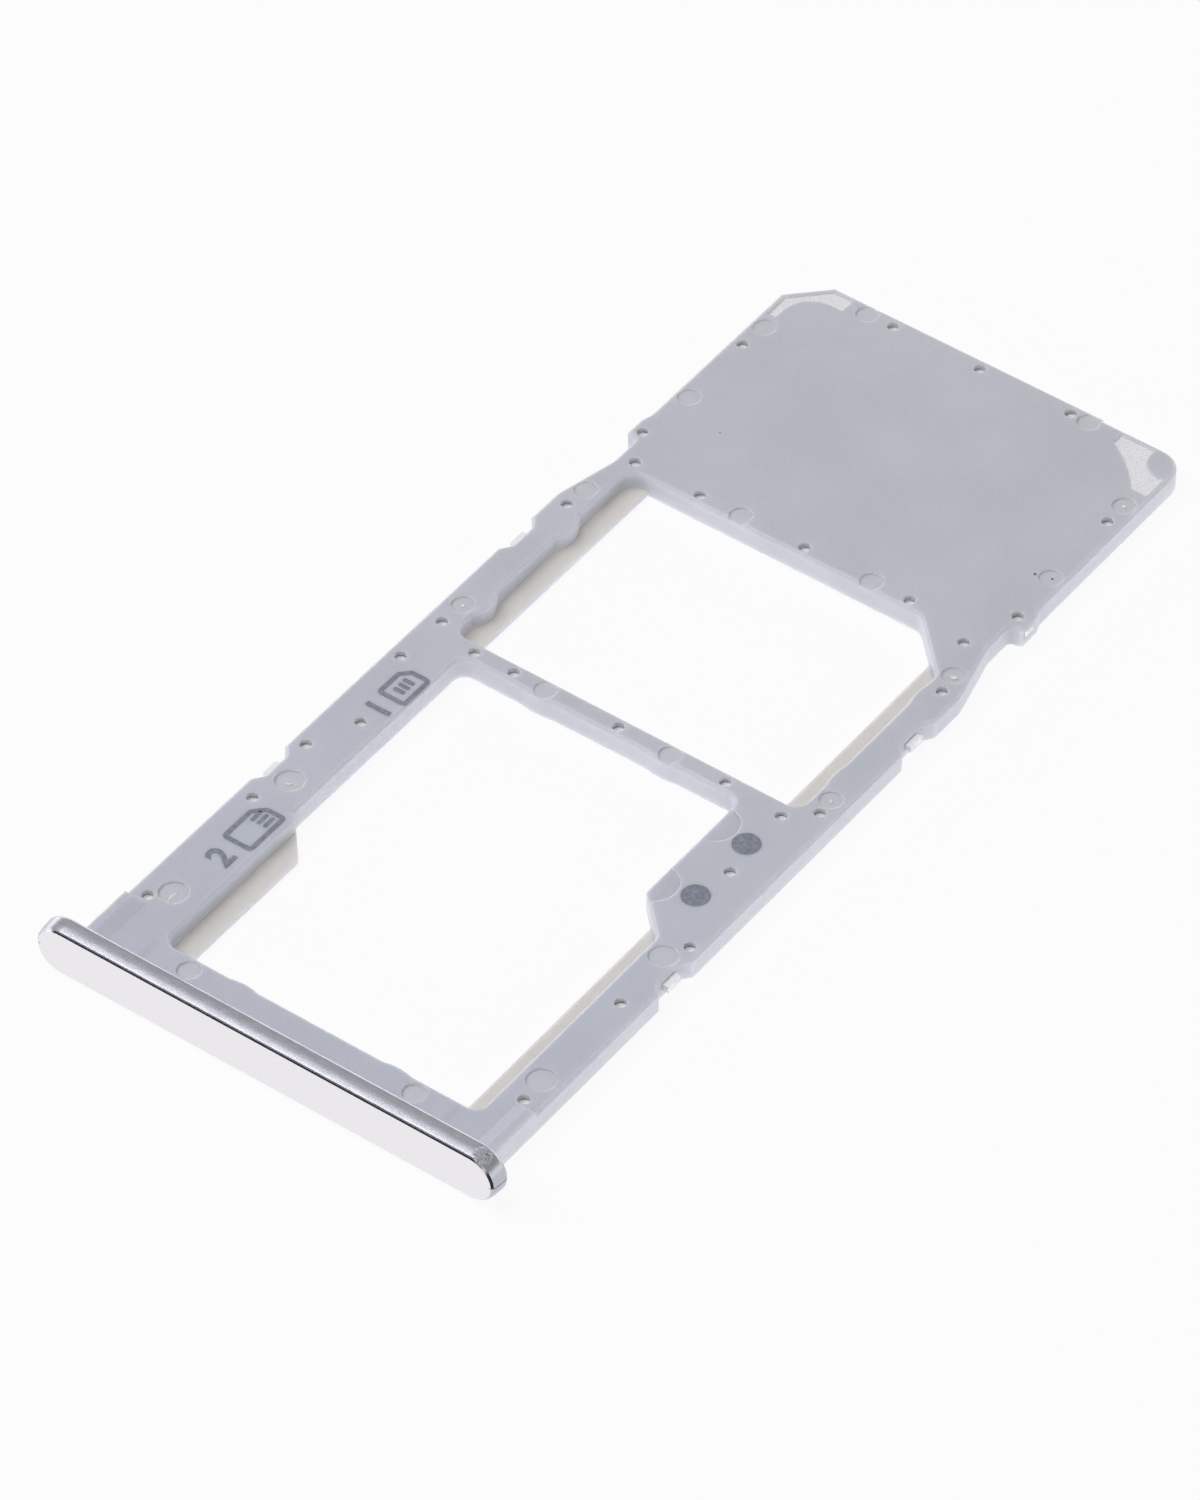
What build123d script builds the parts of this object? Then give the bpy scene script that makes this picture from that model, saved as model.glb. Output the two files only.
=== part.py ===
"""Card tray of a phone: a moulded carrier with two card windows, a stamped steel insert and a face bar."""
import os

from build123d import *

os.makedirs("parts", exist_ok=True)

# Frame: X across the tray, Y along it with the face bar at the -Y end, Z up from the underside.
# All sizes are in millimetres, and angles in degrees.

# Plate
plate_thickness = 0.82
top_edge_break = 0.1
bottom_edge_break = 0.08

# Face bar, a flat bar with round ends, whose rim falls a little towards a bevel at the front
bar_overhang = 0.88
bar_height = 1.87
bar_thickness = 0.75
bar_back_round = 0.18
bar_crown_drop = 0.06
bar_front_bevel = 0.07

# Arms of the face bar, moulded into the front strip
arm_width = 1.26
arm_thickness = 0.3
arm_floor = 0.26
arm_side_inset = 0.79
arm_end_cover = 0.27

# Lengths along the tray, from the face bar to the rear
strip_depth = 1.62
card_pocket_length = 15.08
crossbar_width = 0.735
sim_pocket_length = 9.14
rear_plate_length = 10.775

# Depth from the plate's top down to the ledges that the cards lie on
ledge_depth = 0.6

# Middle bay: a pocket between two rails, with a ledge on each side and one cut corner
sim_pocket_width = 13.1
sim_rail = 1.17
sim_ledge = 0.74
sim_key_corner = 1.87
sim_key_rear_round = 0.6
sim_key_side_round = 0.3
sim_rear_round = 0.62
sim_front_round = 0.45

# Front bay: rails, ledges, and a guide block that narrows the bay on its right
card_left_rail = 2.19
card_left_relief = 0.2
card_left_ledge = 0.78
card_left_ledge_length = 6.45
card_left_ledge_slope = 0.9
card_ledge_round = 0.35
card_right_rail = 1.48
card_right_ledge = 0.68
guide_width = 1.39
guide_length = 4.82
guide_round = 0.3
card_corner_round = 0.42

# Half-round scoops in the top edge of the guide block, from the front bay's rear wall
scoop_radius = 0.78
scoop_depth = 0.07
scoop_places = (-1.25, -4.38)

# Bumps that hold a card off the walls, those of the middle bay placed from its front and rear walls
sim_left_bump_chord = 1.3
sim_left_bump_height = 0.22
sim_left_bump_from_front = 1.56
sim_left_bump_from_rear = 3.28
sim_right_bump_chord = 1.1
sim_right_bump_height = 0.07
sim_right_bump_from_front = 1.85
sim_right_bump_from_rear = 2.84
strip_bump_chord = 1.05
strip_bump_height = 0.08
strip_bump_places = (-2.5, 3.25)
crossbar_bump_chord = 1.15
crossbar_bump_height = 0.07
crossbar_bump_places = (-2.85, 1.9)

# Outline beside and behind the middle bay, with distances along the tray from that bay's rear wall
flare_start = -2.22
neck_start = 0.05
neck_end = 1.23
neck_inset = 0.55
neck_round = 0.2
ear_front_rise = 0.05
ear_front_round = 0.13
ear_length = 0.84
ear_slope = 0.33
ear_inset = 0.12
ear_rear_round = 0.5
rear_inset = 0.24
flare_round = 1.0
rear_cut_corner = 1.25
rear_round_corner = 0.95
rear_step = 0.08
rear_step_length = 3.28

# Notches in the sides, where the sheet's tie bars were cut off
notch_mouth = 1.74
notch_depth = 0.29
notch_slope = 38
notch_round = 0.2
card_notch_place = 7.87
sim_notch_place = 4.68

# Raised pads at the front ends of the rails
pad_width = 0.78
pad_height = 0.15
pad_length = 2.5
pad_slope = 0.45
pad_round = 0.1

# Steel insert: sheet, cover of plastic over it, and tie-bar ends
sheet_thickness = 0.25
sheet_cover = 0.22
sheet_side_cover = 0.18
sheet_window_cover = 0.13
sheet_front_cover = 0.95
tie_bar_width = 0.62
tie_bar_setback = 0.06
tie_bar_root = 0.1
ear_tie_bar_width = 0.5

# Pin holes, where pins of the mould held the sheet down
pin_radius = 0.2
rear_row_inset = 0.42
rear_row_pins = (-3.66, -0.28, 3.22)
sim_row_inset = 0.34
sim_row_pins = (-4.03, -0.01, 4.0)
crossbar_row_inset = 0.35
crossbar_row_pins = (-3.98, 0.04, 4.07)

# Pin holes on the rails: distance in from the rail's side, then along from the wall that is named
left_pins_from_card_front = ((0.59, 1.22), (0.59, 6.37), (0.49, 9.15))
left_pins_from_card_rear = ((1.25, -4.17), (0.49, -1.13), (2.23, 0.34), (0.59, 0.85))
left_pins_from_sim_rear = ((0.56, -2.47), (1.15, 0.34), (0.53, 1.61))
left_pins_from_rear_edge = ((0.66, -3.95),)
right_pins_from_card_front = ((0.69, 1.18), (0.72, 6.05), (0.42, 9.15))
right_pins_from_card_rear = ((1.3, -2.67), (1.44, 0.18), (0.56, 0.98))
right_pins_from_sim_rear = ((0.59, -2.37), (1.3, -0.2), (0.6, 1.74))
right_pins_from_rear_edge = ((0.76, -3.85),)

# Ejector marks: shallow discs in the top, placed in the same way
mark_radius = 0.38
wide_mark_radius = 0.47
mark_depth = 0.08
rear_row_marks = (-4.68, 3.9)
sim_row_marks = (-2.46, 2.56)
crossbar_row_marks = (-2.75, 2.01)
crossbar_mark_inset = 0.33
strip_row_marks = (-4.19, 4.26)
strip_row_inset = 0.52
left_marks_from_sim_rear = ((0.66, -8.04), (0.63, -1.59), (0.74, 3.8))
left_marks_from_rear_edge = ((0.74, -2.87),)
right_marks_from_sim_rear = ((0.62, -8.24), (0.72, -1.59), (0.76, 3.77))
right_marks_from_rear_edge = ((0.76, -2.94),)
left_wide_marks_from_card_front = ((1.15, 1.77), (1.05, 7.61))
right_wide_marks_from_card_front = ((0.76, 2.13), (0.85, 8.37))

# Sunk patches in the rear corners of the plate, with distances from the plate's side and rear edge
patch_depth = 0.07
patch_rim = 0.21
left_patch_across = 2.07
left_patch_along = 2.29
left_land_side = 0.52
left_land_rear = 0.79
left_land_round = 1.12
right_patch_across = 2.42
right_patch_along = 2.1
right_patch_end = 0.64
right_patch_front = 0.79
right_patch_bow = 0.12
lobe_radius = 0.71
lobe_inset = 0.45

# Places worked out from the sizes
rail_side = sim_pocket_width / 2 + sim_rail
neck_side = rail_side - neck_inset
ear_side = rail_side - ear_inset
rear_side = rail_side - rear_inset
sim_wall = sim_pocket_width / 2
tray_length = (
    bar_thickness + strip_depth + card_pocket_length + crossbar_width + sim_pocket_length + rear_plate_length
)
face_front = -tray_length / 2
bar_back = face_front + bar_thickness
card_front = bar_back + strip_depth
card_rear = card_front + card_pocket_length
sim_front = card_rear + crossbar_width
sim_rear = sim_front + sim_pocket_length
rear_edge = sim_rear + rear_plate_length
card_left_wall = -rail_side + card_left_rail
card_right_wall = rail_side - card_right_rail
guide_edge = card_right_wall - guide_width
guide_front = card_rear - guide_length
ledge_top = plate_thickness - ledge_depth
pad_top = plate_thickness + pad_height
sheet_top = plate_thickness - sheet_cover
sheet_floor = sheet_top - sheet_thickness
notch_places = (card_front + card_notch_place, sim_front + sim_notch_place)
ear_start = neck_end + ear_front_rise
ear_end = ear_start + ear_length
ear_place = sim_rear + (ear_start + ear_end) / 2
nearby = 0.01


def cap_center(height, chord):
    """Distance from a bump's tip back to the centre of its round."""
    return (chord**2 / 4 + height**2) / (2 * height)


def on_rails(left, right, datum):
    """Points on both rails, from (distance in from the side, distance along from the datum)."""
    left_points = [(-rail_side + inset, datum + along) for inset, along in left]
    right_points = [(rail_side - inset, datum + along) for inset, along in right]
    return left_points + right_points


def in_row(places, along):
    """Points in one row across the tray."""
    return [(across, along) for across in places]


pin_points = (
    in_row(rear_row_pins, rear_edge - rear_row_inset)
    + in_row(sim_row_pins, sim_rear + sim_row_inset)
    + in_row(crossbar_row_pins, card_rear + crossbar_row_inset)
    + on_rails(left_pins_from_card_front, right_pins_from_card_front, card_front)
    + on_rails(left_pins_from_card_rear, right_pins_from_card_rear, card_rear)
    + on_rails(left_pins_from_sim_rear, right_pins_from_sim_rear, sim_rear)
    + on_rails(left_pins_from_rear_edge, right_pins_from_rear_edge, rear_edge)
)
mark_points = (
    in_row(rear_row_marks, rear_edge - rear_row_inset)
    + in_row(sim_row_marks, sim_rear + sim_row_inset)
    + in_row(crossbar_row_marks, card_rear + crossbar_mark_inset)
    + in_row(strip_row_marks, card_front - strip_row_inset)
    + on_rails(left_marks_from_sim_rear, right_marks_from_sim_rear, sim_rear)
    + on_rails(left_marks_from_rear_edge, right_marks_from_rear_edge, rear_edge)
)
wide_mark_points = on_rails(left_wide_marks_from_card_front, right_wide_marks_from_card_front, card_front)

# Outline of the carrier from above, and the rounded corners of its sides
side_profile = (
    (rail_side, bar_back),
    (rail_side, sim_rear + flare_start),
    (neck_side, sim_rear + neck_start),
    (neck_side, sim_rear + neck_end),
    (ear_side, sim_rear + ear_start),
    (ear_side, sim_rear + ear_end),
    (rear_side, sim_rear + ear_end + ear_slope),
)
right_rear = (
    (rear_side, rear_edge - rear_step),
    (rear_side - rear_step_length, rear_edge - rear_step),
    (rear_side - rear_step_length, rear_edge),
)
left_rear = (
    (-rear_side + rear_cut_corner, rear_edge),
    (-rear_side, rear_edge - rear_cut_corner),
)
left_profile = tuple((-across, along) for across, along in reversed(side_profile))

with BuildSketch() as tray_blank:
    with BuildLine():
        Polyline(*side_profile, *right_rear, *left_rear, *left_profile, close=True)
    make_face()
    fillet(tray_blank.vertices().group_by(Axis.Y)[-2].sort_by(Axis.X)[-1], rear_round_corner)

with BuildSketch() as tray_outline:
    add(tray_blank.sketch)
    flare_corners = tray_outline.vertices().filter_by_position(
        Axis.Y, sim_rear + flare_start - nearby, sim_rear + neck_start + nearby
    )
    fillet(flare_corners, flare_round)
    for place, radius in (
        (sim_rear + neck_end, neck_round),
        (sim_rear + ear_start, ear_front_round),
        (sim_rear + ear_end, ear_rear_round),
        (sim_rear + ear_end + ear_slope, ear_rear_round),
    ):
        fillet(tray_outline.vertices().filter_by_position(Axis.Y, place - nearby, place + nearby), radius)
    for side in (-1, 1):
        with Locations([(side * (rail_side - notch_depth / 2), place) for place in notch_places]):
            Trapezoid(notch_mouth, notch_depth, notch_slope, rotation=side * 90, mode=Mode.SUBTRACT)
    notch_corners = tray_outline.vertices().filter_by(
        lambda corner: min(abs(corner.Y - place) for place in notch_places) < notch_mouth / 2 + nearby
    )
    fillet(notch_corners, notch_round)

# Middle bay: its plain shape, the pocket with rounded corners and bumps, and the gap between its ledges
with BuildSketch() as sim_blank:
    with BuildLine():
        Polyline(
            (-sim_wall, sim_front),
            (sim_wall, sim_front),
            (sim_wall, sim_rear - sim_key_corner),
            (sim_wall - sim_key_corner, sim_rear),
            (-sim_wall, sim_rear),
            close=True,
        )
    make_face()

sim_left_bump_radius = cap_center(sim_left_bump_height, sim_left_bump_chord)
sim_left_bump_across = -sim_wall + sim_left_bump_height - sim_left_bump_radius
sim_right_bump_radius = cap_center(sim_right_bump_height, sim_right_bump_chord)
sim_right_bump_across = sim_wall - sim_right_bump_height + sim_right_bump_radius
sim_left_bumps = (sim_rear - sim_left_bump_from_rear, sim_front + sim_left_bump_from_front)
sim_right_bumps = (sim_rear - sim_right_bump_from_rear, sim_front + sim_right_bump_from_front)
with BuildSketch() as sim_bay:
    add(sim_blank.sketch)
    fillet(sim_bay.vertices().group_by(Axis.Y)[0], sim_front_round)
    fillet(sim_bay.vertices().group_by(Axis.Y)[-1].sort_by(Axis.X)[0], sim_rear_round)
    fillet(sim_bay.vertices().group_by(Axis.X)[-1].sort_by(Axis.Y)[-1], sim_key_side_round)
    fillet(sim_bay.vertices().group_by(Axis.Y)[-1].sort_by(Axis.X)[-1], sim_key_rear_round)

with BuildSketch() as sim_pocket:
    add(sim_bay.sketch)
    with Locations([(sim_left_bump_across, place) for place in sim_left_bumps]):
        Circle(sim_left_bump_radius, mode=Mode.SUBTRACT)
    with Locations([(sim_right_bump_across, place) for place in sim_right_bumps]):
        Circle(sim_right_bump_radius, mode=Mode.SUBTRACT)

with BuildSketch() as sim_gap:
    add(sim_bay.sketch)
    with Locations((0, sim_front)):
        Rectangle(
            sim_pocket_width - 2 * sim_ledge,
            sim_pocket_length,
            align=(Align.CENTER, Align.MIN),
            mode=Mode.INTERSECT,
        )

# Front bay: the same sketches, which share the guide block and the relief of the left wall
relief_wall = card_left_wall - card_left_relief
ledge_end = card_front + card_left_ledge_length
bay_rear = ((guide_edge, guide_front), (guide_edge, card_rear), (relief_wall, card_rear))

strip_bump_radius = cap_center(strip_bump_height, strip_bump_chord)
crossbar_bump_radius = cap_center(crossbar_bump_height, crossbar_bump_chord)
with BuildSketch() as card_bumps:
    with Locations(in_row(strip_bump_places, card_front + strip_bump_height - strip_bump_radius)):
        Circle(strip_bump_radius)
    with Locations(in_row(crossbar_bump_places, card_rear - crossbar_bump_height + crossbar_bump_radius)):
        Circle(crossbar_bump_radius)

with BuildSketch() as card_blank:
    with BuildLine():
        Polyline(
            (card_left_wall, card_front),
            (card_right_wall, card_front),
            (card_right_wall, guide_front - guide_width),
            *bay_rear,
            (relief_wall, ledge_end + card_left_relief),
            (card_left_wall, ledge_end),
            close=True,
        )
    make_face()

with BuildSketch() as card_pocket:
    add(card_blank.sketch)
    fillet(card_pocket.vertices().group_by(Axis.Y)[0], card_corner_round)
    fillet(card_pocket.vertices().group_by(Axis.Y)[-1], card_corner_round)
    guide_corners = card_pocket.vertices().filter_by_position(
        Axis.Y, guide_front - guide_width - nearby, guide_front + nearby
    )
    fillet(guide_corners.filter_by(lambda corner: corner.X > 0), guide_round)
    add(card_bumps.sketch, mode=Mode.SUBTRACT)

with BuildSketch() as card_gap:
    with BuildLine():
        Polyline(
            (card_left_wall + card_left_ledge, card_front),
            (card_right_wall - card_right_ledge, card_front),
            (card_right_wall - card_right_ledge, guide_front - guide_width + card_right_ledge),
            *bay_rear,
            (relief_wall, ledge_end + card_left_relief),
            (card_left_wall, ledge_end),
            (card_left_wall + card_left_ledge, ledge_end - card_left_ledge_slope),
            close=True,
        )
    make_face()
    fillet(card_gap.vertices().group_by(Axis.Y)[-1], card_corner_round)
    ledge_corner = card_gap.vertices().filter_by_position(
        Axis.Y, ledge_end - card_left_ledge_slope - nearby, ledge_end - card_left_ledge_slope + nearby
    )
    fillet(ledge_corner, card_ledge_round)
    guide_corner = card_gap.vertices().filter_by_position(Axis.Y, guide_front - nearby, guide_front + nearby)
    fillet(guide_corner, guide_round)
    add(card_bumps.sketch, mode=Mode.SUBTRACT)

# Steel insert: the carrier's plain shape set in, less the bays and notches set out, with its tie-bar ends
with BuildSketch() as sheet_windows:
    add(sim_blank.sketch)
    add(card_blank.sketch)
    offset(amount=sheet_window_cover, kind=Kind.INTERSECTION)

with BuildSketch() as sheet_shape:
    add(tray_blank.sketch)
    offset(amount=-sheet_side_cover, kind=Kind.INTERSECTION)
    add(sheet_windows.sketch, mode=Mode.SUBTRACT)
    with Locations((0, card_front + sheet_front_cover)):
        Rectangle(2 * rail_side, card_pocket_length, align=(Align.CENTER, Align.MAX), mode=Mode.SUBTRACT)
    notch_relief = notch_depth + sheet_side_cover
    notch_tab = notch_relief + tie_bar_root - tie_bar_setback
    ear_tab = sheet_side_cover + tie_bar_root
    for side, inner_end in ((-1, Align.MIN), (1, Align.MAX)):
        with Locations([(side * rail_side, place) for place in notch_places]):
            Rectangle(notch_relief, notch_mouth, align=(inner_end, Align.CENTER), mode=Mode.SUBTRACT)
        with Locations([(side * (rail_side - tie_bar_setback), place) for place in notch_places]):
            Rectangle(notch_tab, tie_bar_width, align=(inner_end, Align.CENTER))
        with Locations((side * ear_side, ear_place)):
            Rectangle(ear_tab, ear_tie_bar_width, align=(inner_end, Align.CENTER))

with BuildPart() as steel_insert:
    with BuildSketch(Plane.XY.offset(sheet_floor)):
        add(sheet_shape.sketch)
    extrude(amount=sheet_thickness)

# Sunk patches: a band around the left corner's rounded land, and a field beside the right corner's lobe
with BuildSketch() as left_land:
    with Locations((-rear_side + left_land_side, rear_edge - left_land_rear)):
        Rectangle(left_patch_across, left_patch_along, align=(Align.MIN, Align.MAX))
    fillet(left_land.vertices().group_by(Axis.Y)[-1].sort_by(Axis.X)[0], left_land_round)

with BuildSketch() as left_patch:
    add(tray_outline.sketch)
    offset(amount=-patch_rim)
    with Locations((-rear_side, rear_edge)):
        Rectangle(left_patch_across, left_patch_along, align=(Align.MIN, Align.MAX), mode=Mode.INTERSECT)
    add(left_land.sketch, mode=Mode.SUBTRACT)

right_rear_edge = rear_edge - rear_step
with BuildSketch() as right_patch:
    with BuildLine():
        outer_edges = Polyline(
            (rear_side - right_patch_across, right_rear_edge - right_patch_end),
            (rear_side - right_patch_across, right_rear_edge - patch_rim),
            (rear_side - patch_rim, right_rear_edge - patch_rim),
            (rear_side - patch_rim, right_rear_edge - right_patch_along),
            (rear_side - right_patch_front, right_rear_edge - right_patch_along),
        )
        SagittaArc(outer_edges @ 1, outer_edges @ 0, -right_patch_bow)
    make_face()
    with Locations((rear_side - lobe_inset, right_rear_edge - lobe_inset)):
        Circle(lobe_radius, mode=Mode.SUBTRACT)

# Face bar with its two arms
arm_length = strip_depth - arm_end_cover
arm_places = [(side * (rail_side - arm_side_inset - arm_width / 2), arm_floor) for side in (-1, 1)]
bar_axis = bar_height / 2
bar_straight = rail_side + bar_overhang - bar_axis
bar_crown_start = (bar_back - bar_back_round, bar_height)
bar_crown_end = (face_front + bar_front_bevel, bar_height - bar_crown_drop)

with BuildSketch() as arm_section:
    with Locations(arm_places):
        Rectangle(arm_width, arm_thickness, align=(Align.CENTER, Align.MIN))

with BuildSketch() as bar_half_section:
    with BuildLine():
        TangentArc(bar_crown_start, bar_crown_end, tangent=(-1, 0))
        Polyline(
            bar_crown_end,
            (face_front, bar_crown_end[1] - bar_front_bevel),
            (face_front, bar_axis),
            (bar_back, bar_axis),
            (bar_back, bar_height - bar_back_round),
        )
        TangentArc((bar_back, bar_height - bar_back_round), bar_crown_start, tangent=(0, 1))
    make_face()

with BuildPart() as face_bar:
    with BuildSketch(Plane.YZ):
        add(bar_half_section.sketch)
    extrude(amount=bar_straight, both=True)
    mirror(about=Plane.XY.offset(bar_axis))
    for side in (-1, 1):
        with BuildSketch(Plane.YZ.offset(side * bar_straight)):
            add(bar_half_section.sketch)
        revolve(axis=Axis((side * bar_straight, 0, bar_axis), (0, side, 0)), revolution_arc=180)
    with BuildSketch(Plane.XZ.offset(-bar_back)):
        add(arm_section.sketch)
    extrude(amount=-arm_length)

# Pads on the rails beside the face bar, with a sloped inner side
with BuildPart() as rail_pads:
    with BuildSketch(Plane.XZ.offset(-bar_back)):
        for side in (-1, 1):
            with BuildLine():
                Polyline(
                    (side * rail_side, ledge_top),
                    (side * rail_side, pad_top),
                    (side * (rail_side - pad_width + pad_slope), pad_top),
                    (side * (rail_side - pad_width), plate_thickness),
                    (side * (rail_side - pad_width), ledge_top),
                    close=True,
                )
            make_face()
    extrude(amount=-pad_length)
    pad_edges = rail_pads.faces().group_by(Axis.Z)[-1].edges()
    fillet(pad_edges.filter_by(lambda edge: edge.center().Y > bar_back + nearby), pad_round)

# Carrier, moulded around the insert and the arms
with BuildPart() as carrier:
    with BuildSketch():
        add(tray_outline.sketch)
        add(sim_gap.sketch, mode=Mode.SUBTRACT)
        add(card_gap.sketch, mode=Mode.SUBTRACT)
    extrude(amount=plate_thickness)
    with BuildSketch(Plane.XY.offset(ledge_top)):
        add(sim_pocket.sketch)
        add(card_pocket.sketch)
    extrude(amount=ledge_depth, mode=Mode.SUBTRACT)
    top_edges = carrier.faces().sort_by(Axis.Z)[-1].edges()
    chamfer(top_edges.filter_by(lambda edge: edge.center().Y > bar_back + nearby), top_edge_break)
    bottom_edges = carrier.faces().sort_by(Axis.Z)[0].outer_wire().edges()
    chamfer(bottom_edges.filter_by(lambda edge: edge.center().Y > bar_back + nearby), bottom_edge_break)
    add(rail_pads.part)
    with BuildSketch(Plane.XY.offset(plate_thickness)):
        with Locations([(guide_edge, card_rear + place) for place in scoop_places]):
            Circle(scoop_radius)
    extrude(amount=-scoop_depth, mode=Mode.SUBTRACT)
    with BuildSketch(Plane.XY.offset(plate_thickness)):
        with Locations(mark_points):
            Circle(mark_radius)
        with Locations(wide_mark_points):
            Circle(wide_mark_radius)
    extrude(amount=-mark_depth, mode=Mode.SUBTRACT)
    with BuildSketch(Plane.XY.offset(plate_thickness)):
        add(left_patch.sketch)
        add(right_patch.sketch)
    extrude(amount=-patch_depth, mode=Mode.SUBTRACT)
    add(steel_insert.part, mode=Mode.SUBTRACT)
    add(face_bar.part, mode=Mode.SUBTRACT)
    with BuildSketch(Plane.XY.offset(plate_thickness)):
        with Locations(pin_points):
            Circle(pin_radius)
    extrude(amount=-sheet_cover, mode=Mode.SUBTRACT)

carrier.part.label = "carrier"
export_step(carrier.part, "parts/carrier.step")
steel_insert.part.label = "steel_insert"
export_step(steel_insert.part, "parts/steel_insert.step")
face_bar.part.label = "face_bar"
export_step(face_bar.part, "parts/face_bar.step")
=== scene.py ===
"""Looks of the card tray: camera, light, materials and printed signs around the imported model."""
import math
from types import SimpleNamespace

import bpy
from mathutils import Matrix, Vector


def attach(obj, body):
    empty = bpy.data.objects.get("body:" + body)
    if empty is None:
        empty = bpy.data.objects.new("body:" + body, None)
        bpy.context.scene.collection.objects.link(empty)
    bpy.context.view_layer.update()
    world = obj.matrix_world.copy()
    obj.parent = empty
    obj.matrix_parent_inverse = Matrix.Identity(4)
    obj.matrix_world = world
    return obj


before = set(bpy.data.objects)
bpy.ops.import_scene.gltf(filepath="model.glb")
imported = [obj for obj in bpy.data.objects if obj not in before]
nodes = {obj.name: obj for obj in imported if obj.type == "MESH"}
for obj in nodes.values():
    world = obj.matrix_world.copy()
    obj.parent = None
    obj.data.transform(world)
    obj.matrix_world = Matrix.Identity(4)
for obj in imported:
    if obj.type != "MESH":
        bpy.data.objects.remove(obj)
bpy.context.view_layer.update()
scene = bpy.context.scene
MM = 0.001


def srgb(red, green, blue):
    """Linear colour of an 8-bit display colour."""
    def linear(value):
        value /= 255
        return value / 12.92 if value <= 0.04045 else ((value + 0.055) / 1.055) ** 2.4
    return linear(red), linear(green), linear(blue), 1.0


# Sizes, places and depths are in millimetres and angles in degrees, unless a comment says otherwise

# Camera, from the vanishing lines of the photograph; lens and sensor as on a camera body
VIEW_AZIMUTH = 36.37
VIEW_ELEVATION = 44.87
VIEW_AIM = (0.182, -2.412, 0.82)
VIEW_DISTANCE = 291.65
VIEW_LENS = 228.9
VIEW_SENSOR = 36.0
VIEW_NEAREST = 10.0

# Heights of the tray's level faces and of its mould line, and where the rear patches start and are full
PLATE_TOP = 0.82
MARK_FLOOR = 0.74
PATCH_FLOOR = 0.75
PATCH_START = 16.0
PATCH_FULL = PATCH_START + 0.1
LEDGE_TOP = 0.22
PARTING_HEIGHT = 0.43

# Facings: values between which a zone changes, as the part of a surface's direction along one axis
LEVEL_FACING = (0.9, 0.98)
SIDE_FACING = (0.05, 0.15)
PRESSED_FACING = (0.5, 0.9)
BAR_FRONT_FACING = (-0.95, -0.85)
BAR_BEVEL_FACING = (-0.5, -0.3)
BAR_END_FACING = (0.45, 0.8)

# Zones around a place: half width, and the width over which they fade
LEDGE_MATCH = (0.01, 0.02)
FLOOR_MATCH = (0.003, 0.003)
SINK_WIDTH = (0.02, 0.2)
PARTING_WIDTH = (0.008, 0.02)
BAR_PARTING_WIDTH = (0.012, 0.012)

# Sink lines in the front strip: distance from the middle, where they end, and over what length they fade
SINK_ACROSS = 5.68
SINK_END = -16.7
SINK_FADE = 0.3

# Spread of light in the plastic, reach and limits of the search for hole walls that get painted light, and
# roundness of edges
PLASTIC_SPREAD = 0.3
HOLE_REACH = 0.4
HOLE_OPENNESS = (0.35, 0.55)
PLASTIC_EDGE = 0.06
STEEL_EDGE = 0.04

# Stretch of the tray, from front to rear, in which the grey gets less blue
HUE_CHANGE = (-14.0, 8.0)

# Roughness; the bar's rim is smoother than its sides by its polish
PLASTIC_ROUGHNESS = 0.42
PATCH_ROUGHNESS = 0.65
TORN_ROUGHNESS = (0.22, 0.34)
STEEL_ROUGHNESS = (0.35, 0.8)
STEEL_LINE_ROUGHNESS = 0.2
BAR_ROUGHNESS = 0.2
BAR_GRAIN_ROUGHNESS = 0.12
BAR_FRONT_ROUGHNESS = 0.22
BAR_RIM_POLISH = 0.2
SCUFF_ROUGHNESS = 0.2
INK_ROUGHNESS = 0.6

# Depths of the relief
GRAIN_DEPTH = 0.005
PATCH_DEPTH = 0.014
PARTING_DEPTH = 0.003
SINK_DEPTH = 0.007
STEEL_LINE_DEPTH = 0.006
BAR_FRONT_DEPTH = 0.003
BAR_GRAIN_DEPTH = 0.0012
BAR_SCAR_DEPTH = 0.02

# Face bar: front, end of its polished rim, middle height, where its ends and the painted dark reflection on
# its rim start
BAR_FRONT = -19.05
BAR_RIM = BAR_FRONT + 0.032
BAR_MIDDLE = 0.935
BAR_END = 8.35
DARK_REFLECTION_START = 8.15

# How far the bar's zones fade along it, up and back
BAR_END_FADE = 0.1
BAR_MIDDLE_FADE = 0.02
BAR_RIM_FADE = 0.01

# Scuff near the bar's right end: place, and the distances from there at which it starts to fade and ends
SCUFF_PLACE = (7.95, -18.72, 1.76)
SCUFF_CORE = 0.12
SCUFF_REACH = 0.34

# Colours, the darker one of each pair first
REAR_GREYS = srgb(198, 200, 209), srgb(208, 209, 218)
FRONT_GREYS = srgb(197, 200, 211), srgb(205, 208, 219)
# Painted glow: ledges lighter and warmer for light from the floor shining up through them
LEDGE_GLOW_PAINT = srgb(221, 219, 215)
MARK_GREY = srgb(214, 216, 223)
# Painted shade in the shallow dips of the sink lines
SINK_SHADE = srgb(184, 186, 196)
# Painted light that lightens the walls of narrow holes
HOLE_WALL_LIGHT_PAINT = srgb(250, 246, 238)
PATCH_WHITES = srgb(236, 235, 241), srgb(252, 251, 255)
DIRT = srgb(96, 94, 98)
# Whites of torn plastic, partly a painted glint
TORN_WHITES_AND_GLINT = srgb(236, 236, 240), srgb(254, 254, 254)
STEEL_ENDS = srgb(226, 226, 230), srgb(250, 250, 252)
STEEL_PRESSED = srgb(254, 254, 254)
BAR_SIDES = srgb(212, 213, 225), srgb(230, 231, 240)
BAR_GRAIN = srgb(194, 195, 207)
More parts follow.
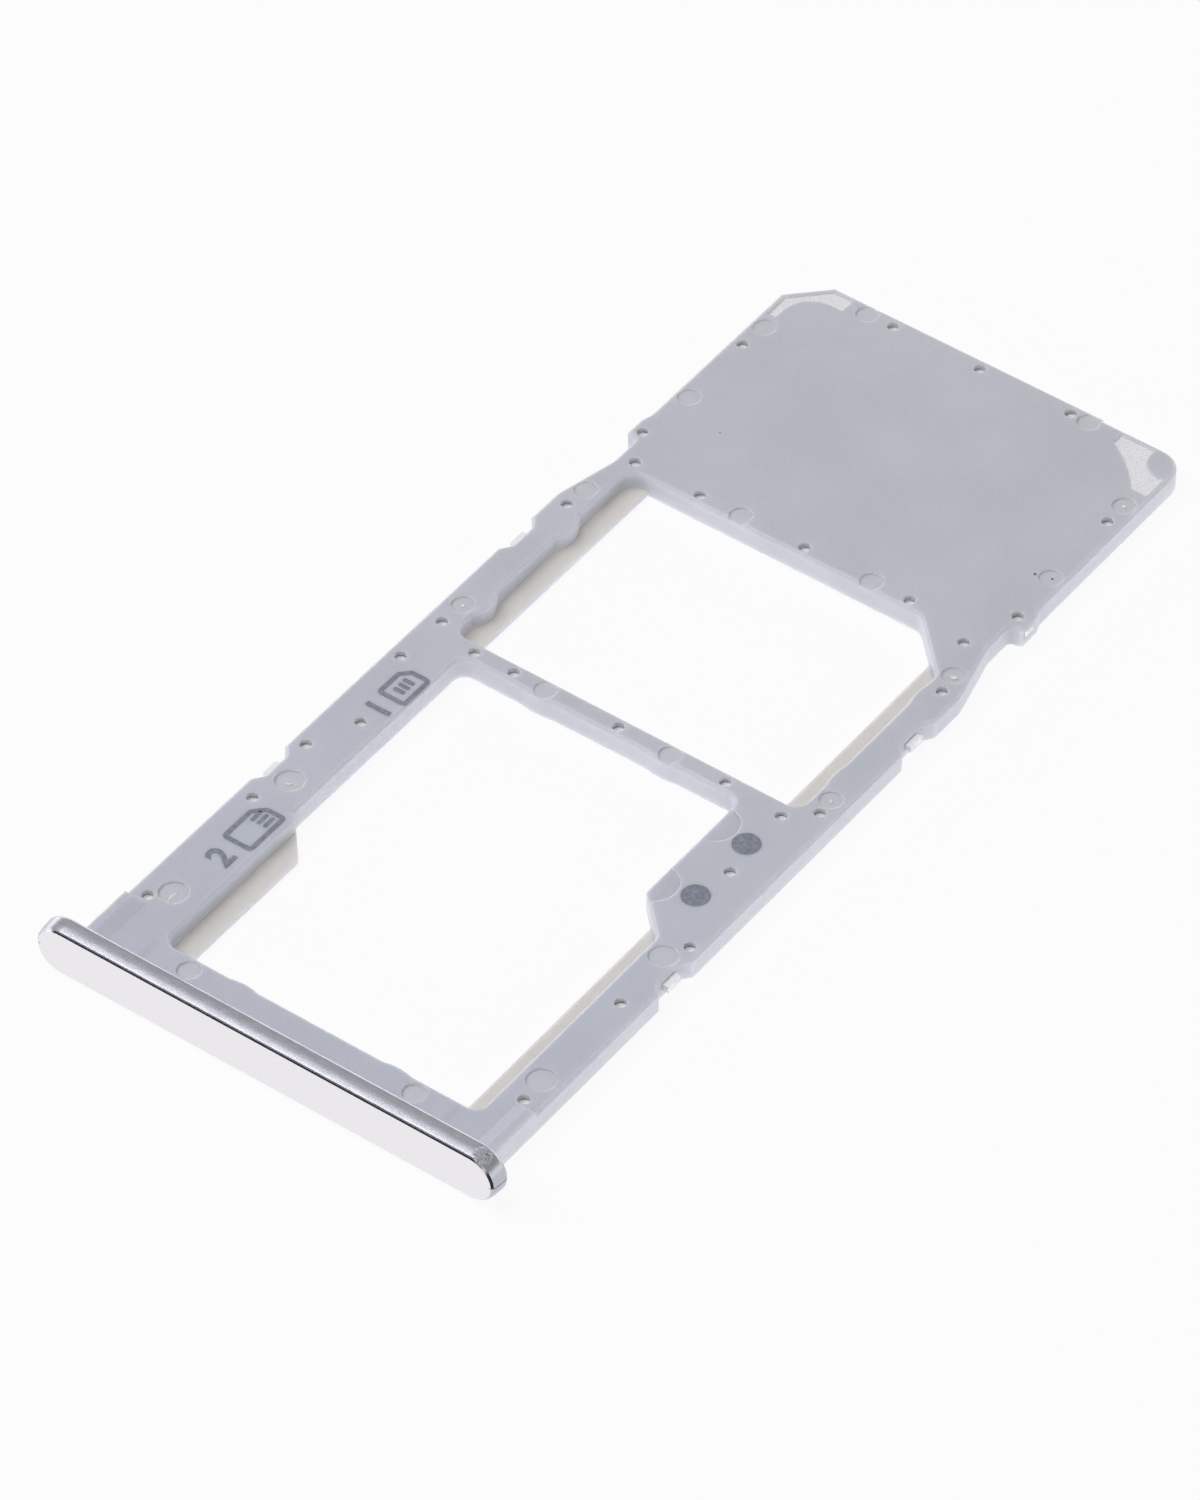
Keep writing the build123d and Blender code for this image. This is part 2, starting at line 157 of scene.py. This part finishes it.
# Painted shade on the bar's ends that face sideways
BAR_END_SHADE = srgb(176, 178, 185)
BAR_FRONTS = srgb(234, 232, 235), srgb(241, 239, 242)
BAR_SCAR = srgb(84, 82, 92)
# Painted dark reflection on the polished rim at the bar's right end
BAR_DARK_REFLECTION = srgb(52, 50, 56)
INK_GREYS = srgb(126, 129, 143), srgb(150, 153, 169)
FLOOR_WHITE = (0.9, 0.9, 0.9, 1.0)

# Room: levels of its light, limits of the bright horizon, and direction and limits of the dark side
HORIZON_LEVEL = 1.35
HORIZON_RISE = (0.15, 0.45)
ROOM_LEVEL = 0.36
DARK_LEVEL = 0.04
DARK_AZIMUTH = -31.0
DARK_ELEVATION = 35.0
DARK_EDGE = (0.86, 0.95)

# Floor: level and share of its glow, half width in metres, and gap below the tray
FLOOR_GLOW = 1.35
FLOOR_GLOW_SHARE = 0.9
FLOOR_HALF = 0.6
FLOOR_GAP = 0.01

# Lamp: direction, distance and size in metres, and power in watts
LAMP_AZIMUTH = -56.0
LAMP_ELEVATION = 62.0
LAMP_DISTANCE = 0.6
LAMP_SIZE = 0.56
LAMP_POWER = 2.0

# Ink: top of the print, how deep it is seated, and the two plain dots
INK_TOP = PLATE_TOP + 0.006
INK_SEAT = PLATE_TOP - 0.02
INK_DOT_RADIUS = 0.454
INK_DOTS = ((6.14, -3.02), (6.18, -5.7))

# Card signs: middle, width, length, cut corner, and fields as across, along, width, length from the middle
SIGN_STROKE = 0.17
SIGN_LINE = 0.9 * SIGN_STROKE
FIELD_ROUND = 0.05
CARD_SIGNS = {
    "sim_card_sign": SimpleNamespace(
        middle=(-6.32, -3.75),
        width=1.1,
        length=1.4,
        cut=0.34,
        fields=[(0.0, along, 0.42, 0.14) for along in (-0.24, 0.0, 0.24)],
    ),
    "memory_card_sign": SimpleNamespace(
        middle=(-6.3, -11.3),
        width=1.15,
        length=1.8,
        cut=0.4,
        fields=[(across, 0.42, 0.13, 0.5) for across in (-0.24, 0.0, 0.24)],
    ),
}

# Slot numbers: place of each, height of the figures, and how much they are thickened
SLOT_NUMBERS = {1: (-6.32, -5.0), 2: (-6.3, -12.9)}
NUMBER_SIZE = 1.25
NUMBER_THICKENING = 0.025

# Specks of dirt: across, along, radius; and the number of radii at which they have faded
SPECKS = ((6.49, 11.88, 0.035), (7.0, 12.09, 0.03), (-5.2, 11.3, 0.02))
SPECK_FADE = 1.8

# Flecks of torn plastic in the ejector marks: across, along, length, width, turn in degrees
FLECKS = (
    (7.06, 6.62, 0.24, 0.15, 20.0),
    (-7.04, 0.2, 0.16, 0.09, 70.0),
    (7.12, 0.0, 0.18, 0.08, -30.0),
    (-6.62, -9.2, 0.2, 0.08, 40.0),
    (6.98, 16.1, 0.14, 0.09, 10.0),
)
TORN_TOP = MARK_FLOOR + 0.05
TORN_SEAT = MARK_FLOOR - 0.01

# Crescent tear in the front left mark: centre, radius, half angle in degrees, width, half width of its tips
CRESCENT_PLACE = Vector((-6.19, -15.03))
CRESCENT_RADIUS = 0.36
CRESCENT_HALF_ANGLE = 42.0
CRESCENT_WIDTH = 0.13
CRESCENT_TIP = 0.004
CRESCENT_STEPS = 12


def direction(azimuth, elevation):
    """Unit vector; azimuth 0 points out of the face bar's front, and 90 to the tray's right."""
    azimuth = math.radians(azimuth)
    elevation = math.radians(elevation)
    level = math.cos(elevation)
    return Vector((math.sin(azimuth) * level, -math.cos(azimuth) * level, math.sin(elevation)))


class Nodes:
    """Short calls for building one node tree."""

    def __init__(self, tree):
        self.tree = tree

    def add(self, kind, inputs=None, **settings):
        node = self.tree.nodes.new(kind)
        for key, value in settings.items():
            setattr(node, key, value)
        for key, value in (inputs or {}).items():
            self.feed(node, key, value)
        return node

    def feed(self, node, socket, value):
        if isinstance(value, bpy.types.NodeSocket):
            self.tree.links.new(value, node.inputs[socket])
        else:
            node.inputs[socket].default_value = value

    def math(self, operation, first, second=0.0, third=0.0):
        return self.add("ShaderNodeMath", {0: first, 1: second, 2: third}, operation=operation).outputs[0]

    def product(self, first, *others):
        for other in others:
            first = self.math("MULTIPLY", first, other)
        return first

    def total(self, first, *others):
        for other in others:
            first = self.math("ADD", first, other)
        return first

    def size(self, value):
        return self.math("ABSOLUTE", value)

    def smooth(self, value, low, high):
        """0 below low, 1 above high, and a smooth step between them."""
        sockets = {0: value, 1: low, 2: high, 3: 0.0, 4: 1.0}
        return self.add("ShaderNodeMapRange", sockets, interpolation_type="SMOOTHSTEP").outputs[0]

    def fall(self, value, low, high):
        """1 below low, 0 above high."""
        return self.math("SUBTRACT", 1.0, self.smooth(value, low, high))

    def near(self, value, center, half, soft):
        """1 within half of the center, fading over soft."""
        away = self.size(self.math("SUBTRACT", value, center))
        return self.fall(away, half, half + soft)

    def blend(self, share, first, second):
        """Number that goes from first to second with the share."""
        return self.add("ShaderNodeMapRange", {0: share, 3: first, 4: second}).outputs[0]

    def mix(self, share, first, second):
        """Colour that goes from first to second with the share."""
        node = self.add("ShaderNodeMix", data_type="RGBA")
        self.feed(node, 0, share)
        self.feed(node, 6, first)
        self.feed(node, 7, second)
        return node.outputs[2]

    def noise(self, place, scale, detail=2.0, roughness=0.5):
        sockets = {"Vector": place, "Scale": scale, "Detail": detail, "Roughness": roughness}
        return self.add("ShaderNodeTexNoise", sockets).outputs["Fac"]

    def vector(self, operation, first, second, output):
        return self.add("ShaderNodeVectorMath", {0: first, 1: second}, operation=operation).outputs[output]

    def stretch(self, place, factors):
        return self.vector("MULTIPLY", place, factors, "Vector")

    def distance(self, place, point):
        return self.vector("DISTANCE", place, point, "Value")

    def place(self):
        """Place in the tray's own frame, in millimetres."""
        return self.stretch(self.add("ShaderNodeTexCoord").outputs["Object"], (1 / MM, 1 / MM, 1 / MM))

    def parts(self, vector):
        return self.add("ShaderNodeSeparateXYZ", {0: vector}).outputs

    def facing(self, kind):
        """Parts of the surface's direction before any bump, smooth or of each flat facet."""
        return self.parts(self.add("ShaderNodeNewGeometry").outputs[kind])

    def openness(self, reach):
        """Share of the surroundings, within a reach in millimetres, that the same piece leaves free."""
        sockets = {"Distance": reach * MM}
        return self.add("ShaderNodeAmbientOcclusion", sockets, samples=4, only_local=True).outputs["AO"]

    def soft_edges(self, radius):
        """Direction of a surface whose edges are rounded by a radius in millimetres."""
        return self.add("ShaderNodeBevel", {"Radius": radius * MM}, samples=4).outputs["Normal"]

    def bump(self, height, normal=None):
        """Relief from a height in millimetres."""
        node = self.add("ShaderNodeBump", {"Height": height, "Distance": MM})
        if normal is not None:
            self.feed(node, "Normal", normal)
        return node.outputs["Normal"]


class Material(Nodes):
    """One material with its Principled shader."""

    def __init__(self, name, **constants):
        self.material = bpy.data.materials.new(name)
        self.material.use_nodes = True
        super().__init__(self.material.node_tree)
        self.shader = self.tree.nodes["Principled BSDF"]
        for key, value in constants.items():
            self.shader.inputs[key.replace("_", " ")].default_value = value

    def set(self, socket, value):
        self.feed(self.shader, socket, value)


def carrier_zones(m):
    """Places on the carrier, the shares of its zones, and its grains."""
    zones = SimpleNamespace(place=m.place())
    across, zones.along, zones.height = m.parts(zones.place)
    up = m.facing("True Normal")[2]
    zones.level = m.smooth(up, *LEVEL_FACING)
    zones.ledge = m.product(zones.level, m.near(zones.height, LEDGE_TOP, *LEDGE_MATCH))
    at_rear = m.smooth(zones.along, PATCH_START, PATCH_FULL)
    zones.patch = m.product(zones.level, m.near(zones.height, PATCH_FLOOR, *FLOOR_MATCH), at_rear)
    zones.mark = m.product(zones.level, m.near(zones.height, MARK_FLOOR, *FLOOR_MATCH))
    sink_line = m.near(m.size(across), SINK_ACROSS, *SINK_WIDTH)
    zones.sink = m.product(zones.level, sink_line, m.fall(zones.along, SINK_END - SINK_FADE, SINK_END))
    side = m.fall(m.size(up), *SIDE_FACING)
    zones.parting = m.product(side, m.near(zones.height, PARTING_HEIGHT, *PARTING_WIDTH))
    zones.hole_wall = m.product(side, m.fall(m.openness(HOLE_REACH), *HOLE_OPENNESS))
    zones.grain = m.noise(zones.place, 11.0, 2.0)
    zones.rough_grain = m.noise(zones.place, 13.0, 3.0, 0.65)
    return zones


def carrier_color(m, zones):
    """Cool grey, bluer in front; lighter marks and patches; painted glow on ledges, painted light on hole
    walls, painted shade on sink lines; dark specks.
    """
    cloud = m.smooth(m.noise(zones.place, 0.35, 3.0), 0.3, 0.7)
    mottle = m.math("MULTIPLY_ADD", cloud, 0.5, m.product(m.smooth(zones.grain, 0.25, 0.75), 0.5))
    toward_front = m.product(zones.level, m.fall(zones.along, *HUE_CHANGE))
    color = m.mix(toward_front, m.mix(mottle, *REAR_GREYS), m.mix(mottle, *FRONT_GREYS))
    # Painted glow: the ledges are lightened for light shining up through the thin plastic
    color = m.mix(m.product(zones.ledge, 0.8), color, LEDGE_GLOW_PAINT)
    color = m.mix(m.product(zones.mark, 0.8), color, MARK_GREY)
    # Painted shade: the sink lines are darkened for the shade in their shallow dip
    color = m.mix(m.product(zones.sink, 0.3), color, SINK_SHADE)
    # Painted light: walls of narrow holes are lightened where the surroundings close in
    color = m.mix(m.product(zones.hole_wall, 0.9), color, HOLE_WALL_LIGHT_PAINT)
    color = m.mix(zones.patch, color, m.mix(m.smooth(zones.rough_grain, 0.35, 0.65), *PATCH_WHITES))
    for across, along, radius in SPECKS:
        middle = m.add("ShaderNodeCombineXYZ", {0: across, 1: along, 2: zones.height}).outputs[0]
        color = m.mix(m.fall(m.distance(zones.place, middle), radius, SPECK_FADE * radius), color, DIRT)
    return color


def carrier_material():
    """Pale cool grey plastic with a fine satin grain, which lets a little light through."""
    m = Material(
        "carrier_plastic",
        Subsurface_Radius=(1.0, 0.94, 0.9),
        Subsurface_Scale=PLASTIC_SPREAD * MM,
        Specular_IOR_Level=0.3,
    )
    zones = carrier_zones(m)
    m.set("Base Color", carrier_color(m, zones))
    m.set("Roughness", m.blend(zones.patch, PLASTIC_ROUGHNESS, PATCH_ROUGHNESS))
    opaque = m.product(m.total(zones.patch, m.product(zones.mark, 0.6)), 0.8)
    m.set("Subsurface Weight", m.math("SUBTRACT", 1.0, opaque))
    relief = m.total(
        m.product(zones.grain, GRAIN_DEPTH),
        m.product(zones.patch, zones.rough_grain, PATCH_DEPTH),
        m.product(zones.parting, PARTING_DEPTH),
        m.product(zones.sink, -SINK_DEPTH),
    )
    m.set("Normal", m.bump(relief, m.soft_edges(PLASTIC_EDGE)))
    return m.material


def torn_material():
    """Stretched and torn plastic, shinier than the rest, and whiter both for its own paler colour and for a
    painted glint.
    """
    m = Material("torn_glint_plastic", Specular_IOR_Level=0.4)
    white = m.smooth(m.noise(m.place(), 14.0, 2.0), 0.3, 0.7)
    # Near white: the torn plastic's paler colour together with a painted glint
    m.set("Base Color", m.mix(white, *TORN_WHITES_AND_GLINT))
    m.set("Roughness", m.blend(white, *TORN_ROUGHNESS))
    return m.material


def insert_material():
    """Bare stamped steel sheet: rolling lines, bright sheared ends, and dull where pins pressed on it."""
    m = Material("insert_steel", Metallic=1.0)
    place = m.place()
    pressed = m.smooth(m.facing("True Normal")[2], *PRESSED_FACING)
    lines = m.noise(m.stretch(place, (3.0, 30.0, 30.0)), 1.0, 3.0)
    blotch = m.smooth(m.noise(place, 5.0, 2.0), 0.3, 0.7)
    m.set("Base Color", m.mix(pressed, m.mix(blotch, *STEEL_ENDS), STEEL_PRESSED))
    rough = m.math("MULTIPLY_ADD", lines, STEEL_LINE_ROUGHNESS, m.blend(pressed, *STEEL_ROUGHNESS))
    m.set("Roughness", rough)
    m.set("Normal", m.bump(m.product(lines, STEEL_LINE_DEPTH), m.soft_edges(STEEL_EDGE)))
    return m.material


def bar_zones(m):
    """Places on the bar, the shares of its zones, and its grain."""
    zones = SimpleNamespace(place=m.place())
    across, along, height = m.parts(zones.place)
    face_x, face_y = m.facing("Normal")[:2]
    zones.front = m.fall(face_y, *BAR_FRONT_FACING)
    bevel = m.product(m.smooth(face_y, *BAR_FRONT_FACING), m.fall(face_y, *BAR_BEVEL_FACING))
    zones.rim = m.product(bevel, m.fall(along, BAR_RIM, BAR_RIM + BAR_RIM_FADE))
    above_middle = m.smooth(height, BAR_MIDDLE, BAR_MIDDLE + BAR_MIDDLE_FADE)
    # Painted dark reflection: the rim's bevel above the middle, towards the right end
    zones.burn = m.product(bevel, m.smooth(across, DARK_REFLECTION_START, BAR_END), above_middle)
    end = m.smooth(m.size(across), BAR_END, BAR_END + BAR_END_FADE)
    zones.parting = m.product(end, m.near(height, BAR_MIDDLE, *BAR_PARTING_WIDTH))
    # Ends that face sideways, which get painted shade in the colour
    zones.end_side = m.smooth(m.size(face_x), *BAR_END_FACING)
    scratches = m.noise(m.stretch(zones.place, (3.5, 9.0, 9.0)), 1.0, 4.0, 0.75)
    scuffed = m.fall(m.distance(zones.place, SCUFF_PLACE), SCUFF_CORE, SCUFF_REACH)
    zones.scuff = m.product(scuffed, m.smooth(scratches, 0.5, 0.58))
    zones.grain = m.noise(zones.place, 22.0, 3.0, 0.6)
    return zones


def bar_color(m, zones):
    """Clouded silver sides, a paler front, painted shade darkening the ends, and a painted dark reflection
    at the rim's right end.
    """
    cloud = m.noise(m.stretch(zones.place, (1.0, 3.0, 3.0)), 2.0, 3.0, 0.6)
    side = m.mix(m.smooth(cloud, 0.3, 0.7), *BAR_SIDES)
    side = m.mix(m.product(m.smooth(zones.grain, 0.35, 0.7), 0.35), side, BAR_GRAIN)
    # Painted shade: the sideways-facing ends are darkened
    side = m.mix(m.product(zones.end_side, 0.8), side, BAR_END_SHADE)
    color = m.mix(zones.front, side, m.mix(m.smooth(zones.grain, 0.3, 0.7), *BAR_FRONTS))
    color = m.mix(m.product(m.math("MAXIMUM", zones.parting, zones.scuff), 0.7), color, BAR_SCAR)
    # Painted dark reflection on the rim at the right end
    return m.mix(zones.burn, color, BAR_DARK_REFLECTION)


def bar_material():
    """Metal bar: fine blasted front, satin sides, polished rim, mould line on its ends and a scuff."""
    m = Material("bar_metal", Metallic=1.0)
    zones = bar_zones(m)
    m.set("Base Color", bar_color(m, zones))
    rough = m.total(
        m.math("MULTIPLY_ADD", zones.grain, BAR_GRAIN_ROUGHNESS, BAR_ROUGHNESS),
        m.product(zones.front, BAR_FRONT_ROUGHNESS),
        m.product(zones.rim, -BAR_RIM_POLISH),
        m.product(zones.scuff, SCUFF_ROUGHNESS),
    )
    m.set("Roughness", rough)
    relief = m.total(
        m.product(zones.front, zones.grain, BAR_FRONT_DEPTH),
        m.product(zones.grain, BAR_GRAIN_DEPTH),
        m.product(zones.parting, -BAR_SCAR_DEPTH),
        m.product(zones.scuff, -BAR_SCAR_DEPTH),
    )
    m.set("Normal", m.bump(relief))
    return m.material


def ink_material():
    """Grey printing ink, a little uneven."""
    m = Material("ink_grey", Roughness=INK_ROUGHNESS, Specular_IOR_Level=0.25)
    patchy = m.smooth(m.noise(m.place(), 7.0, 3.0), 0.3, 0.75)
    m.set("Base Color", m.mix(patchy, *INK_GREYS))
    return m.material


def floor_material():
    """Glowing white floor that keeps a light shadow, and shows white in the picture and in reflections."""
    m = Material("floor_white", Roughness=0.9, Specular_IOR_Level=0.0, Base_Color=FLOOR_WHITE)
    path = m.add("ShaderNodeLightPath").outputs
    seen = m.math("MAXIMUM", path["Is Camera Ray"], path["Is Glossy Ray"])
    seen = m.math("MAXIMUM", seen, path["Is Transmission Ray"])
    strength = m.blend(seen, FLOOR_GLOW, 1.0)
    glow = m.add("ShaderNodeEmission", {"Color": (1.0, 1.0, 1.0, 1.0), "Strength": strength})
    mixed = m.add("ShaderNodeMixShader", {0: FLOOR_GLOW_SHARE, 1: m.shader.outputs[0], 2: glow.outputs[0]})
    m.tree.links.new(mixed.outputs[0], m.tree.nodes["Material Output"].inputs["Surface"])
    return m.material


def set_material(piece, material):
    piece.data.materials.clear()
    piece.data.materials.append(material)


class Shape:
    """Closed thin solids in millimetres, gathered into one mesh."""

    def __init__(self):
        self.points = []
        self.faces = []

    def add_points(self, outline, height):
        start = len(self.points)
        self.points += [(across, along, height) for across, along in outline]
        return list(range(start, len(self.points)))

    def add_band(self, first, second):
        """Four-sided faces between two closed rows of as many points."""
        count = len(first)
        for index in range(count):
            after = (index + 1) % count
            self.faces.append((first[index], first[after], second[after], second[index]))

    def add_plate(self, outline, low, high):
        """Plate with a counter-clockwise outline."""
        bottom = self.add_points(outline, low)
        top = self.add_points(outline, high)
        self.add_band(bottom, top)
        self.faces += [tuple(top), tuple(reversed(bottom))]

    def add_ring(self, outer, inner, low, high):
        """Plate between two counter-clockwise outlines of as many points."""
        outer_low = self.add_points(outer, low)
        outer_high = self.add_points(outer, high)
        inner_low = self.add_points(inner, low)
        inner_high = self.add_points(inner, high)
        self.add_band(outer_low, outer_high)
        self.add_band(outer_high, inner_high)
        self.add_band(inner_high, inner_low)
        self.add_band(inner_low, outer_low)

    def mesh(self, name):
        mesh = bpy.data.meshes.new(name)
        mesh.from_pydata([Vector(point) * MM for point in self.points], [], self.faces)
        mesh.update()
        return mesh


def add_piece(mesh, material):
    """Piece that rides on the tray and takes the carrier's slot."""
    piece = bpy.data.objects.new(mesh.name, mesh)
    scene.collection.objects.link(piece)
    set_material(piece, material)
    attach(piece, "root")


def circle(across, along, radius, count=48):
    angles = [2 * math.pi * index / count for index in range(count)]
    return [(across + radius * math.cos(angle), along + radius * math.sin(angle)) for angle in angles]


def rounded(corners, radius, inset=0.0, steps=6):
    """Convex counter-clockwise outline with rounded corners, moved in by an inset."""
    outline = []
    for index, corner in enumerate(corners):
        corner = Vector(corner)
        before = (corner - Vector(corners[index - 1])).normalized()
        after = (Vector(corners[(index + 1) % len(corners)]) - corner).normalized()
        turn = abs(before.angle_signed(after))
        center = corner - before * radius * math.tan(turn / 2) + Vector((-before.y, before.x)) * radius
        start = math.atan2(-before.x, before.y)
        for step in range(steps + 1):
            angle = start + turn * step / steps
            point = center + Vector((math.cos(angle), math.sin(angle))) * (radius - inset)
            outline.append((point.x, point.y))
    return outline


def add_ink_dots(ink):
    for number, (across, along) in enumerate(INK_DOTS, 1):
        shape = Shape()
        shape.add_plate(circle(across, along, INK_DOT_RADIUS), INK_SEAT, INK_TOP)
        add_piece(shape.mesh(f"ink_dot_{number}"), ink)


def box_corners(across, along, width, length):
    """Corners of a box around a middle, counter-clockwise from the left front one."""
    left, right = across - width / 2, across + width / 2
    front, rear = along - length / 2, along + length / 2
    return [(left, front), (right, front), (right, rear), (left, rear)]


def card_corners(sign):
    """Corners of a card that lies along the tray, with its left rear corner cut off."""
    corners = box_corners(*sign.middle, sign.width, sign.length)
    left, rear = corners.pop()
    return corners + [(left + sign.cut, rear), (left, rear - sign.cut)]


def add_card_sign(name, sign, ink):
    """Outline of a plain card with its contact fields, printed on the rail."""
    shape = Shape()
    corners = card_corners(sign)
    outer = rounded(corners, SIGN_STROKE)
    inner = rounded(corners, SIGN_STROKE, SIGN_LINE)
    shape.add_ring(outer, inner, INK_SEAT, INK_TOP)
    for across, along, width, length in sign.fields:
        field = box_corners(sign.middle[0] + across, sign.middle[1] + along, width, length)
        shape.add_plate(rounded(field, FIELD_ROUND), INK_SEAT, INK_TOP)
    add_piece(shape.mesh(name), ink)


def add_slot_number(number, ink):
    """Plain number that reads along the rail."""
    curve = bpy.data.curves.new(f"slot_number_{number}", "FONT")
    curve.body = str(number)
    curve.size = NUMBER_SIZE * MM
    curve.offset = NUMBER_THICKENING * MM
    curve.extrude = (INK_TOP - INK_SEAT) / 2 * MM
    curve.align_x = "CENTER"
    curve.align_y = "CENTER"
    text = bpy.data.objects.new(curve.name, curve)
    mesh = bpy.data.meshes.new_from_object(text)
    mesh.name = curve.name
    bpy.data.objects.remove(text)
    center = Vector((*SLOT_NUMBERS[number], (INK_TOP + INK_SEAT) / 2)) * MM
    mesh.transform(Matrix.Translation(center) @ Matrix.Rotation(math.pi / 2, 4, "Z"))
    add_piece(mesh, ink)


def add_signs(ink):
    """Plain card signs and slot numbers on the left rail."""
    for number, (name, sign) in enumerate(CARD_SIGNS.items(), 1):
        add_card_sign(name, sign, ink)
        add_slot_number(number, ink)


def add_flecks(torn):
    """Torn chips that stand up from the floors of some ejector marks."""
    shape = Shape()
    for across, along, length, width, turn in FLECKS:
        turned = Matrix.Rotation(math.radians(turn), 2)
        corners = ((-length / 2, width / 4), (0.0, -width / 2), (length / 2, 0.0), (length / 6, width / 2))
        points = [Vector((across, along)) + turned @ Vector(corner) for corner in corners]
        shape.add_plate([tuple(point) for point in points], TORN_SEAT, TORN_TOP)
    add_piece(shape.mesh("mark_flecks"), torn)


def add_crescent_row(shape, share):
    """Three points across the crescent: one foot, its crest and the other foot."""
    angle = math.pi + math.radians(CRESCENT_HALF_ANGLE) * share
    way = Vector((math.cos(angle), math.sin(angle)))
    half = CRESCENT_WIDTH / 2 * (1 - share**2) + CRESCENT_TIP
    row = []
    for offset, height in ((-half, TORN_SEAT), (0.0, TORN_TOP), (half, TORN_SEAT)):
        point = CRESCENT_PLACE + way * (CRESCENT_RADIUS + offset)
        row += shape.add_points([tuple(point)], height)
    return row


def add_crescent(torn):
    """Lifted crescent of plastic at one side of the front left mark."""
    shape = Shape()
    shares = [2 * step / CRESCENT_STEPS - 1 for step in range(CRESCENT_STEPS + 1)]
    rows = [add_crescent_row(shape, share) for share in shares]
    for row, after in zip(rows, rows[1:]):
        shape.add_band(row, after)
    shape.faces += [tuple(reversed(rows[0])), tuple(rows[-1])]
    add_piece(shape.mesh("mark_crescent"), torn)


def add_floor():
    """Floor just below the tray."""
    low, high = -FLOOR_HALF, FLOOR_HALF
    mesh = bpy.data.meshes.new("floor")
    mesh.from_pydata([(low, low, 0), (high, low, 0), (high, high, 0), (low, high, 0)], [], [(0, 1, 2, 3)])
    floor = bpy.data.objects.new("floor", mesh)
    floor.location.z = -FLOOR_GAP * MM
    scene.collection.objects.link(floor)
    set_material(floor, floor_material())


def add_camera():
    """Camera that looks at the tray from its front right, at the photograph's angle."""
    back = direction(VIEW_AZIMUTH, VIEW_ELEVATION)
    right = direction(VIEW_AZIMUTH + 90, 0)
    up = back.cross(right)
    data = bpy.data.cameras.new("camera")
    data.lens = VIEW_LENS
    data.sensor_width = VIEW_SENSOR
    data.clip_start = VIEW_NEAREST * MM
    camera = bpy.data.objects.new("camera", data)
    turn = Matrix((right, up, back)).transposed().to_4x4()
    place = (Vector(VIEW_AIM) + back * VIEW_DISTANCE) * MM
    camera.matrix_world = Matrix.Translation(place) @ turn
    scene.collection.objects.link(camera)
    scene.camera = camera


def add_lamp():
    """Round soft box high above the tray's left front corner."""
    way = direction(LAMP_AZIMUTH, LAMP_ELEVATION)
    data = bpy.data.lights.new("lamp", "AREA")
    data.shape = "DISK"
    data.size = LAMP_SIZE
    data.energy = LAMP_POWER
    lamp = bpy.data.objects.new("lamp", data)
    lamp.location = way * LAMP_DISTANCE
    lamp.rotation_euler = way.to_track_quat("Z", "Y").to_euler()
    scene.collection.objects.link(lamp)


def add_world():
    """Dim room with a bright horizon and a dark side in front, above the face bar."""
    world = bpy.data.worlds.new("studio")
    world.use_nodes = True
    n = Nodes(world.node_tree)
    background = n.tree.nodes["Background"]
    way = n.add("ShaderNodeTexCoord").outputs["Generated"]
    horizon = n.fall(n.parts(way)[2], *HORIZON_RISE)
    room = n.blend(horizon, ROOM_LEVEL, HORIZON_LEVEL)
    toward_dark = n.vector("DOT_PRODUCT", way, direction(DARK_AZIMUTH, DARK_ELEVATION), "Value")
    strength = n.blend(n.smooth(toward_dark, *DARK_EDGE), room, DARK_LEVEL)
    background.inputs["Color"].default_value = (1, 1, 1, 1)
    n.feed(background, "Strength", strength)
    scene.world = world


set_material(nodes["carrier"], carrier_material())
set_material(nodes["steel_insert"], insert_material())
set_material(nodes["face_bar"], bar_material())
ink_grey = ink_material()
add_ink_dots(ink_grey)
add_signs(ink_grey)
torn_glint_plastic = torn_material()
add_flecks(torn_glint_plastic)
add_crescent(torn_glint_plastic)
add_floor()
add_camera()
add_world()
add_lamp()

scene.view_settings.view_transform = "Standard"
